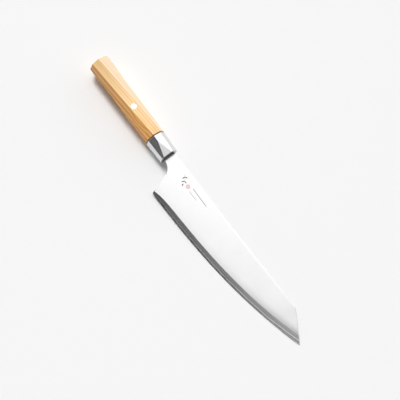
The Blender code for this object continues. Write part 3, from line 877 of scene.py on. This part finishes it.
def handle_mesh():
    """Rings from the butt along the turning eight-sided outside, then back down the pocket.

    The points of a facet are crowded toward its corners by a sine.
    """
    in_facet = np.linspace(0.0, 1.0, FACET_POINTS, endpoint=False)
    in_facet = in_facet - CORNER_CROWDING * np.sin(2.0 * math.pi * in_facet) / (2.0 * math.pi)
    around = (EIGHTH * (np.arange(8)[:, None] + in_facet)).reshape(1, -1)
    butt_fall, butt_in = (part[::-1] for part in rounded_end(BUTT_ROUND, steps=7))
    front_fall, front_in = rounded_end(FRONT_ROUND, steps=4)
    side_x = np.linspace(1.3 * BUTT_ROUND, HANDLE_END - 1.5 * FRONT_ROUND, HANDLE_RINGS)
    x = np.concatenate((butt_fall, side_x, HANDLE_END - front_fall))
    inset = np.concatenate((butt_in, np.zeros(HANDLE_RINGS), front_in))
    turns = handle_turn(x)[:, None]
    distances = (handle_radius(x) * math.cos(EIGHTH / 2))[:, None, None]
    outside = rounded_polygon(
        around + turns, FACET_TURNS + turns[..., None], distances, HANDLE_CRISPNESS)
    outside = outside - inset[:, None]
    pocket = slot_radius(around, *POCKET_HALF_SIZES)
    pocket_x = np.linspace(HANDLE_END, TANG_END - POCKET_MARGIN, POCKET_RINGS)
    angles = around + np.concatenate((turns, np.zeros((POCKET_RINGS, 1))))
    x = np.concatenate((x, pocket_x))
    radii = np.concatenate((outside, np.repeat(pocket, POCKET_RINGS, axis=0)))
    rings, sides = radii.shape
    return (ring_points(x, radii, angles), ring_faces(rings, sides, closed=False),
            end_caps(rings, sides, turned=1))


def painted_light_ramp(tree, share, colours):
    """A colour read off the stops of painted light, from painted shade to a painted sheen."""
    node = add_node(tree, "ValToRGB", {"Fac": share})
    elements = node.color_ramp.elements
    while len(elements) < len(colours):
        elements.new(0.5)
    for element, spot, colour in zip(elements, PAINTED_LIGHT_STOPS, colours):
        element.position = spot
        element.color = (*colour, 1.0)
    return node.outputs["Color"]


def wood_finish():
    """Pale wood, straight-grained, with painted shade deepening it toward the blade's edge
    and a painted sheen paling it toward the spine, in steps near two ridges between facets.

    Growth layers lie round a far-off heart and lean a few degrees along the handle, bent by two
    slow noises and pushed out round one small crook.  Each layer darkens slowly and ends
    abruptly, some more than others.  Fibres, streaks and short pores run along them.
    """
    material, tree = new_finish("pale straight-grained wood", Metallic=0.0)
    place = add_node(tree, "Mapping", {
        "Vector": knife_place(tree), "Rotation": (0.0, 0.0, -GRAIN_LEAN)}).outputs["Vector"]
    bend = stretched_noise(tree, place, (0.012, 0.05, 0.05), detail=1.0)
    uneven = stretched_noise(tree, place, (0.004, 0.09, 0.09), detail=1.0)
    flat = vector_maths(
        tree, "MULTIPLY", vector_maths(tree, "SUBTRACT", place, GRAIN_HEART), (0.0, 1.0, 1.0))
    away = vector_maths(tree, "LENGTH", flat)
    from_crook = vector_maths(
        tree, "DIVIDE", vector_maths(tree, "SUBTRACT", place, CROOK_PLACE), CROOK_REACH)
    crook = vector_maths(tree, "LENGTH", from_crook)
    bent = away
    for push in (between(tree, bend, -BEND_HEIGHT, BEND_HEIGHT, 0.0, 1.0),
                 between(tree, crook, CROOK_HEIGHT, 0.0, 0.0, 1.0),
                 between(tree, uneven, -UNEVEN_HEIGHT, UNEVEN_HEIGHT, 0.0, 1.0)):
        bent = maths(tree, "ADD", bent, push)
    year = maths(tree, "MULTIPLY_ADD", bent, YEARS_PER_MM, YEAR_PHASE)
    whole_year = maths(tree, "FLOOR", year)
    harsh = add_node(
        tree, "TexWhiteNoise", {"W": whole_year}, noise_dimensions="1D").outputs["Value"]
    summer = add_node(tree, "FloatCurve", {"Value": maths(tree, "FRACT", year)})
    curve = summer.mapping.curves[0]
    curve.points[0].location = SUMMER_CURVE[0]
    curve.points[1].location = SUMMER_CURVE[-1]
    for spot in SUMMER_CURVE[1:-1]:
        curve.points.new(*spot)
    summer.mapping.update()
    fibres = stretched_noise(tree, place, (0.030, 2.6, 2.6), roughness=0.6)
    streaks = stretched_noise(tree, place, (0.008, 0.75, 0.75), detail=2.0)
    pores = stretched_noise(tree, place, (0.20, 6.5, 6.5), detail=2.0)
    # Painted shade and sheen: the colour steps with the distance from the heart, near two facet
    # ridges.
    painted_light_share = between(tree, away, 0.0, 1.0, PAINTED_SHADE_FROM, PAINTED_SHEEN_TO)
    pale = painted_light_ramp(tree, painted_light_share, PALE_WOOD_PAINTED_LIGHT)
    amber = painted_light_ramp(tree, painted_light_share, AMBER_WOOD_PAINTED_LIGHT)
    grain = maths(
        tree, "MULTIPLY", between(tree, summer.outputs["Value"], 0.0, 1.0, 0.15, 0.9),
        between(tree, harsh, 0.35, 1.0, 0.0, 1.0))
    colour = blended(tree, grain, pale, amber)
    colour = blended(tree, between(tree, streaks, 0.0, 0.30, 0.45, 0.75), colour, amber)
    colour = blended(tree, between(tree, fibres, 0.0, 0.45, 0.45, 0.70), colour, amber)
    colour = blended(tree, between(tree, pores, 0.0, 0.25, 0.62, 0.75), colour, PORE_COLOUR)
    relief = maths(tree, "SUBTRACT", fibres, pores)
    rough = between(tree, fibres, 0.40, 0.52)
    return surfaced(material, colour, rough, relief, 0.20, distance=0.0002)


handle_piece = knife_piece("handle_block", wood_finish(), *handle_mesh())
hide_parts("handle")

# Resin round the tang
# Cured resin fills the pocket round the tang, and shows as a hairline round the neck.
# The construction's own piece stays, and gets its finish here.


def resin_finish():
    """Cast resin: near black, faintly mottled, a little glossy where it was wiped."""
    material, tree = new_finish("cured resin", Metallic=0.0, Coat_Weight=0.1)
    mottle = stretched_noise(tree, knife_place(tree), (0.9, 0.9, 0.9))
    colour = blended(tree, mottle, (0.012, 0.011, 0.010), (0.035, 0.031, 0.028))
    rough = between(tree, mottle, 0.35, 0.55)
    return surfaced(material, colour, rough, mottle, 0.15, distance=0.0002)


bedding = frame["nodes"]["tang_bedding"]
bedding.data.materials.clear()
bedding.data.materials.append(resin_finish())

# Pin
# A bright steel tube with a filled centre is driven through the wood and the tang, square to the
# facet that carries it, and ground flush.  Its hole is drilled through every layer at once.

PIN_PLACE = 0.0633
PIN_RADIUS = 0.0031
PIN_CORE_RADIUS = 0.0012
PIN_PROUD = 0.00010
PIN_CHAMFER = 0.00012
PIN_HOLE_GAP = 0.00004
PIN_SIDES = 96
TURNING_MARKS = 26.0
ROD_GAP = 0.00002
pin_turn = handle_turn(PIN_PLACE) + EIGHTH / 2
pin_half = handle_radius(PIN_PLACE) * math.cos(EIGHTH / 2) + PIN_PROUD


def pin_points(heights, radii):
    """Rings round the pin's axis, which crosses the handle's at the pin's turn from the face."""
    angles = full_turn(PIN_SIDES)
    x = PIN_PLACE + np.multiply.outer(radii, np.cos(angles))
    side = np.multiply.outer(radii, np.sin(angles))
    height = heights[:, None]
    y = side * math.cos(pin_turn) + height * math.sin(pin_turn)
    z = height * math.cos(pin_turn) - side * math.sin(pin_turn)
    return as_points(x, y, z)


def pin_finish(name, dark, light, low, high):
    """Turned steel: a sine of the distance from the pin's own axis marks its fine rings."""
    material, tree = new_finish(name, Metallic=1.0)
    middle = add_node(tree, "Mapping", {
        "Vector": knife_place(tree), "Location": (PIN_PLACE * 1000.0, 0.0, 0.0),
        "Rotation": (-pin_turn, 0.0, 0.0)}, vector_type="TEXTURE").outputs[0]
    away = vector_maths(
        tree, "LENGTH", vector_maths(tree, "MULTIPLY", middle, (1.0, 1.0, 0.0)))
    rings = maths(tree, "SINE", maths(tree, "MULTIPLY", away, TURNING_MARKS))
    rings = between(tree, rings, 0.0, 1.0, -1.0, 1.0)
    colour = blended(tree, rings, dark, light)
    return surfaced(material, colour, between(tree, rings, low, high, 0.0, 1.0), rings, 0.015)


drill_ends = np.array((-2.0, 2.0)) * pin_half
drill_points = pin_points(drill_ends, np.full(2, PIN_RADIUS + PIN_HOLE_GAP))
drill_faces = ring_faces(2, PIN_SIDES, closed=False)[:, ::-1].tolist()
drill = new_object("drill", laid(drill_points), drill_faces + end_caps(2, PIN_SIDES, turned=0))
for piece in (handle_piece, core_piece, *claddings):
    hole = piece.modifiers.new("pin hole", "BOOLEAN")
    hole.operation = "DIFFERENCE"
    hole.object = drill
    seen = piece.evaluated_get(bpy.context.evaluated_depsgraph_get())
    piece.data = bpy.data.meshes.new_from_object(seen)
    piece.modifiers.clear()
    smooth_shaded(piece.data)
bpy.data.objects.remove(drill)

tube_heights = np.array((-1.0, -1.0, -1.0, 1.0, 1.0, 1.0)) * pin_half
tube_heights[[2, 3]] += np.array((PIN_CHAMFER, -PIN_CHAMFER))
tube_radii = np.array((PIN_CORE_RADIUS, PIN_RADIUS - PIN_CHAMFER, PIN_RADIUS,
                       PIN_RADIUS, PIN_RADIUS - PIN_CHAMFER, PIN_CORE_RADIUS))
pin_piece = knife_piece(
    "pin_tube",
    pin_finish("bright pin steel", (0.63, 0.63, 0.63), (0.67, 0.67, 0.67), 0.07, 0.11),
    pin_points(tube_heights, tube_radii), ring_faces(6, PIN_SIDES, closed=True)[:, ::-1])
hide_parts("handle_pin")

rod_heights = np.array((-1.0, -1.0, 1.0, 1.0)) * pin_half
rod_heights[[1, 2]] += np.array((1.0, -1.0)) * PIN_CHAMFER / 2
rod_radii = PIN_CORE_RADIUS - np.array((1.0, 0.0, 0.0, 1.0)) * PIN_CHAMFER / 2 - ROD_GAP
rod_piece = knife_piece(
    "pin_centre_rod", pin_finish("pin centre", (0.54, 0.54, 0.55), (0.60, 0.60, 0.61), 0.09, 0.13),
    pin_points(rod_heights, rod_radii), ring_faces(4, PIN_SIDES, closed=False)[:, ::-1],
    end_caps(4, PIN_SIDES, turned=0))
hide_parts("handle_pin_core")

# Floor
# A plain pale surface that carries the knife's shadow, and is wide enough to reach the horizon
# in low views.

FLOOR_HALF = 12.0
FLOOR_COLOUR = (0.86, 0.86, 0.86, 1.0)


def floor_finish():
    """A plain pale surface, dull, with a relief too fine to see and its sheen faintly uneven."""
    material, tree = new_finish("pale floor", Metallic=0.0, Specular_IOR_Level=0.2)
    place = add_node(tree, "TexCoord").outputs["Object"]
    relief = stretched_noise(tree, place, (300.0, 300.0, 300.0), detail=2.0)
    return surfaced(material, FLOOR_COLOUR, between(tree, relief, 0.58, 0.62), relief, 0.05)


corners = np.array(((-1, -1, 0), (1, -1, 0), (1, 1, 0), (-1, 1, 0))) * FLOOR_HALF
floor = new_object("floor", corners, [(0, 1, 2, 3)])
floor.data.materials.append(floor_finish())

# Light
# A broad soft panel hangs over the butt and the spine's side, with a small key lamp in it.  The
# wall on the spine's side is lit, and the rest of the room is dim, but paler near the floor.
# The camera sees a pale backdrop instead, and so do metal and glass, low down and on one side.

PANEL_STRENGTH = 1.35
PANEL_EDGES = {"X": (0.24, -0.08), "Y": (-0.285, -0.165), "Z": (0.52, 0.80)}
SIDE_STRENGTH = 0.50
SIDE_EDGES = (0.45, 0.75)
KEY_SIDE = np.array((-0.50, 0.155, 0.85))
KEY_EDGES = (0.975, 0.995)
KEY_STRENGTH = 21.6
CEILING_STRENGTH = 0.085
LOW_STRENGTH = 0.15
LOW_EDGES = (0.90, 0.50)
HORIZON_STRENGTH = 0.24
HORIZON_EDGES = (0.58, 0.30)
WALL_STRENGTH = 0.85
WALL_TOP = (0.34, 0.10)
WALL_RISE = 0.80
ROOF_EDGES = {"X": (0.03, 0.09), "Y": (-0.26, -0.34)}


def studio_world():
    """The sky: the greater of the panel and the lit wall, plus the key, plus the dim room.

    Camera rays see the backdrop instead.  Mirrored rays see it up to a line that rises toward
    both ends of the knife, and over a part of the ceiling beyond the edge.
    """
    world = bpy.data.worlds.new("studio")
    world.use_nodes = True
    tree = world.node_tree
    way = add_node(tree, "TexCoord").outputs["Generated"]
    axes = add_node(tree, "SeparateXYZ", {0: way}).outputs

    def soft_edge(value, ends, strength=1.0):
        """A strength that rises smoothly from none as the value passes between the ends."""
        return between(tree, value, 0.0, strength, *ends, interpolation_type="SMOOTHSTEP")

    panel = PANEL_STRENGTH
    for axis, ends in PANEL_EDGES.items():
        panel = maths(tree, "MULTIPLY", soft_edge(axes[axis], ends), panel)
    side = soft_edge(axes["Y"], SIDE_EDGES, SIDE_STRENGTH)
    toward_key = vector_maths(tree, "DOT_PRODUCT", way, unit(KEY_SIDE).tolist())
    studio = maths(tree, "MAXIMUM", panel, side)
    for light in (soft_edge(toward_key, KEY_EDGES, KEY_STRENGTH),
                  soft_edge(axes["Z"], LOW_EDGES, LOW_STRENGTH - CEILING_STRENGTH),
                  soft_edge(axes["Z"], HORIZON_EDGES, HORIZON_STRENGTH), CEILING_STRENGTH):
        studio = maths(tree, "ADD", studio, light)
    sideways = maths(tree, "ABSOLUTE", axes["X"])
    wall = soft_edge(maths(tree, "MULTIPLY_ADD", sideways, -WALL_RISE, axes["Z"]), WALL_TOP)
    roof = maths(tree, "MULTIPLY", *(
        soft_edge(axes[axis], ends) for axis, ends in ROOF_EDGES.items()))
    backdrop = maths(tree, "MAXIMUM", wall, roof)
    rays = add_node(tree, "LightPath").outputs
    mirrored = maths(tree, "MAXIMUM", rays["Is Glossy Ray"], rays["Is Transmission Ray"])
    seen = maths(tree, "MULTIPLY_ADD", mirrored, backdrop, rays["Is Camera Ray"])
    strength = add_node(tree, "Mix", {0: seen, 2: studio, 3: WALL_STRENGTH}).outputs[0]
    fed(tree, tree.nodes["Background"], {"Color": (1.0, 1.0, 1.0, 1.0), "Strength": strength})
    return world


scene.world = studio_world()

# Camera
# It looks down from the tip's end, on the edge's side, about a fifth of a right angle from
# upright, with the small roll that the photograph shows.

CAMERA_PLACE = np.array((0.27140, -0.22785, 1.03023))
CAMERA_AIM = np.array((0.00139, 0.01241, 0.0))
CAMERA_LEVEL = np.array((0.5836, 0.8120, 0.0))
CAMERA_ROLL = -0.0111
VIEW_ANGLE = math.radians(20.908)


def camera_turn():
    """Rows for right, up and back: right is the level line made square to the sight, rolled."""
    sight = unit(CAMERA_AIM - CAMERA_PLACE)
    right = unit(CAMERA_LEVEL - sight * (CAMERA_LEVEL @ sight))
    down = np.cross(sight, right)
    rolled_right = math.cos(CAMERA_ROLL) * right + math.sin(CAMERA_ROLL) * down
    rolled_down = math.cos(CAMERA_ROLL) * down - math.sin(CAMERA_ROLL) * right
    return np.array((rolled_right, -rolled_down, -sight))


camera_data = bpy.data.cameras.new("camera")
camera_data.sensor_width = 36.0
camera_data.lens = camera_data.sensor_width / 2 / math.tan(VIEW_ANGLE / 2)
camera_data.clip_start = 0.05
camera = bpy.data.objects.new("camera", camera_data)
camera.matrix_world = Matrix.Translation(CAMERA_PLACE) @ Matrix(camera_turn().T.tolist()).to_4x4()
scene.collection.objects.link(camera)
scene.camera = camera

scene.view_settings.view_transform = "Standard"
